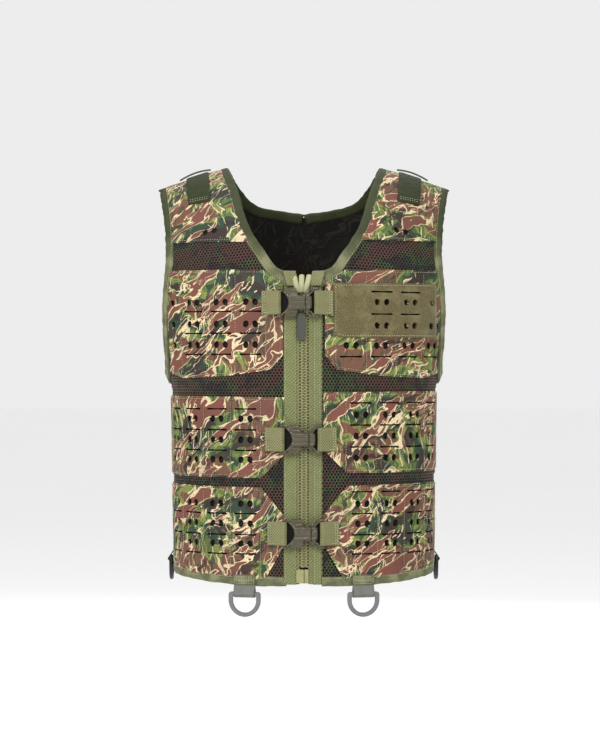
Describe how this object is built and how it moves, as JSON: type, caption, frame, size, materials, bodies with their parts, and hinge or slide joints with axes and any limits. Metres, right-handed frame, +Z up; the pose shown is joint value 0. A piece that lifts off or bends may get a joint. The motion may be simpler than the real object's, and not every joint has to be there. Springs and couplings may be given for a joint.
{
  "type": "safety harness vest",
  "caption": "Load-bearing mesh vest with laser-cut attachment panels, front zip, side-release buckles, a hook-and-loop field and hinged D-rings at the hem.",
  "frame": {"origin": "middle of the shoulder seat, on the centre line at the height where the vest rests on the shoulders", "axes": "+Z up, -Y out of the chest, +X to the wearer's left"},
  "size_m": [0.3716, 0.2838, 0.5726],
  "materials": {
    "printed_mesh": "knitted spacer mesh",
    "printed_laminate": "printed, laser-cut laminate",
    "sage_binding": "grosgrain",
    "dark_olive_webbing": "twill webbing",
    "sage_webbing": "woven webbing",
    "grey_webbing": "woven webbing",
    "zip_tape": "woven tape",
    "olive_acetal": "moulded",
    "slider_alloy": "painted die casting",
    "pull_rubber": "moulded",
    "buckle_acetal": "moulded, satin",
    "ring_acetal": "moulded, satin",
    "loop_field": "brushed loop pile",
    "keeper_cord": "braided cord"
  },
  "bodies": {
    "back": {"mesh_back": "printed_mesh", "binding_back": "sage_binding", "back_panel_upper": "printed_laminate", "back_panel_middle": "printed_laminate", "back_panel_lower": "printed_laminate", "yoke_back": "printed_laminate", "shoulder_webbing_back": "dark_olive_webbing", "ring_tab_side_left": "grey_webbing", "ring_tab_side_right": "grey_webbing", "hang_loop": "sage_webbing"},
    "front_left": {"mesh_front_left": "printed_mesh", "binding_front_left": "sage_binding", "yoke_panel_left": "printed_laminate", "upper_panel_left": "printed_laminate", "middle_panel_left": "printed_laminate", "lower_panel_left": "printed_laminate", "shoulder_webbing_front_left": "dark_olive_webbing", "zip_tape_left": "zip_tape", "zip_teeth_left": "olive_acetal", "ring_tab_front_left": "grey_webbing", "cord_keeper_left": "keeper_cord", "buckle_webbing_top_left": "sage_webbing", "buckle_webbing_middle_left": "sage_webbing", "buckle_webbing_bottom_left": "sage_webbing", "hook_loop_patch": "loop_field", "zip_insertion_pin": "olive_acetal", "buckle_male_top": "buckle_acetal", "buckle_male_middle": "buckle_acetal", "buckle_male_bottom": "buckle_acetal"},
    "front_right": {"mesh_front_right": "printed_mesh", "binding_front_right": "sage_binding", "yoke_panel_right": "printed_laminate", "upper_panel_right": "printed_laminate", "middle_panel_right": "printed_laminate", "lower_panel_right": "printed_laminate", "shoulder_webbing_front_right": "dark_olive_webbing", "zip_tape_right": "zip_tape", "zip_teeth_right": "olive_acetal", "ring_tab_front_right": "grey_webbing", "cord_keeper_right": "keeper_cord", "buckle_webbing_top_right": "sage_webbing", "buckle_webbing_middle_right": "sage_webbing", "buckle_webbing_bottom_right": "sage_webbing", "zip_retainer_box": "olive_acetal", "buckle_female_top": "buckle_acetal", "buckle_female_middle": "buckle_acetal", "buckle_female_bottom": "buckle_acetal"},
    "zip_slider": {"zip_slider": "slider_alloy"},
    "zip_pull": {"zip_pull": "pull_rubber"},
    "prong_top_upper": {"buckle_prong_top_upper": "buckle_acetal"},
    "prong_top_lower": {"buckle_prong_top_lower": "buckle_acetal"},
    "prong_middle_upper": {"buckle_prong_middle_upper": "buckle_acetal"},
    "prong_middle_lower": {"buckle_prong_middle_lower": "buckle_acetal"},
    "prong_bottom_upper": {"buckle_prong_bottom_upper": "buckle_acetal"},
    "prong_bottom_lower": {"buckle_prong_bottom_lower": "buckle_acetal"},
    "d_ring_front_left": {"d_ring_front_left": "ring_acetal"},
    "d_ring_front_right": {"d_ring_front_right": "ring_acetal"},
    "d_ring_side_left": {"d_ring_side_left": "ring_acetal"},
    "d_ring_side_right": {"d_ring_side_right": "ring_acetal"}
  },
  "joints": [
    {"name": "front_left_part", "type": "slide", "parent": "back", "child": "front_left", "axis": [1, 0, 0], "range_m": [0, 0.06]},
    {"name": "front_right_part", "type": "slide", "parent": "back", "child": "front_right", "axis": [-1, 0, 0], "range_m": [0, 0.06]},
    {"name": "zip_run", "type": "slide", "parent": "front_right", "child": "zip_slider", "axis": [0, 0, -1], "range_m": [0, 0.317]},
    {"name": "pull_swing", "type": "hinge", "parent": "zip_slider", "child": "zip_pull", "pos_m": [-0.0035, -0.1284, -0.1695], "axis": [-1, 0, 0], "range_deg": [0, 85]},
    {"name": "prong_top_upper_press", "type": "hinge", "parent": "front_left", "child": "prong_top_upper", "pos_m": [0.0083, -0.1342, -0.1492], "axis": [0, -1, 0], "range_deg": [0, 8], "stiffness_Nm_per_rad": 0.1},
    {"name": "prong_top_lower_press", "type": "hinge", "parent": "front_left", "child": "prong_top_lower", "pos_m": [0.0083, -0.1342, -0.1618], "axis": [0, 1, 0], "range_deg": [0, 8], "stiffness_Nm_per_rad": 0.1},
    {"name": "prong_middle_upper_press", "type": "hinge", "parent": "front_left", "child": "prong_middle_upper", "pos_m": [0.0126, -0.1342, -0.3202], "axis": [0, -1, 0], "range_deg": [0, 8], "stiffness_Nm_per_rad": 0.1},
    {"name": "prong_middle_lower_press", "type": "hinge", "parent": "front_left", "child": "prong_middle_lower", "pos_m": [0.0126, -0.1342, -0.3328], "axis": [0, 1, 0], "range_deg": [0, 8], "stiffness_Nm_per_rad": 0.1},
    {"name": "prong_bottom_upper_press", "type": "hinge", "parent": "front_left", "child": "prong_bottom_upper", "pos_m": [0.0156, -0.1342, -0.4377], "axis": [0, -1, 0], "range_deg": [0, 8], "stiffness_Nm_per_rad": 0.1},
    {"name": "prong_bottom_lower_press", "type": "hinge", "parent": "front_left", "child": "prong_bottom_lower", "pos_m": [0.0156, -0.1342, -0.4503], "axis": [0, 1, 0], "range_deg": [0, 8], "stiffness_Nm_per_rad": 0.1},
    {"name": "ring_front_left_swing", "type": "hinge", "parent": "front_left", "child": "d_ring_front_left", "pos_m": [0.07443, -0.11863, -0.5205], "axis": [0.9629, 0.27, 0], "range_deg": [-90, 90]},
    {"name": "ring_front_right_swing", "type": "hinge", "parent": "front_right", "child": "d_ring_front_right", "pos_m": [-0.07443, -0.11863, -0.5205], "axis": [0.9629, -0.27, 0], "range_deg": [-90, 90]},
    {"name": "ring_side_left_swing", "type": "hinge", "parent": "back", "child": "d_ring_side_left", "pos_m": [0.17374, 0.031, -0.486], "axis": [0, -1, 0], "range_deg": [0, 90]},
    {"name": "ring_side_right_swing", "type": "hinge", "parent": "back", "child": "d_ring_side_right", "pos_m": [-0.17374, 0.031, -0.486], "axis": [0, 1, 0], "range_deg": [0, 90]}
  ]
}
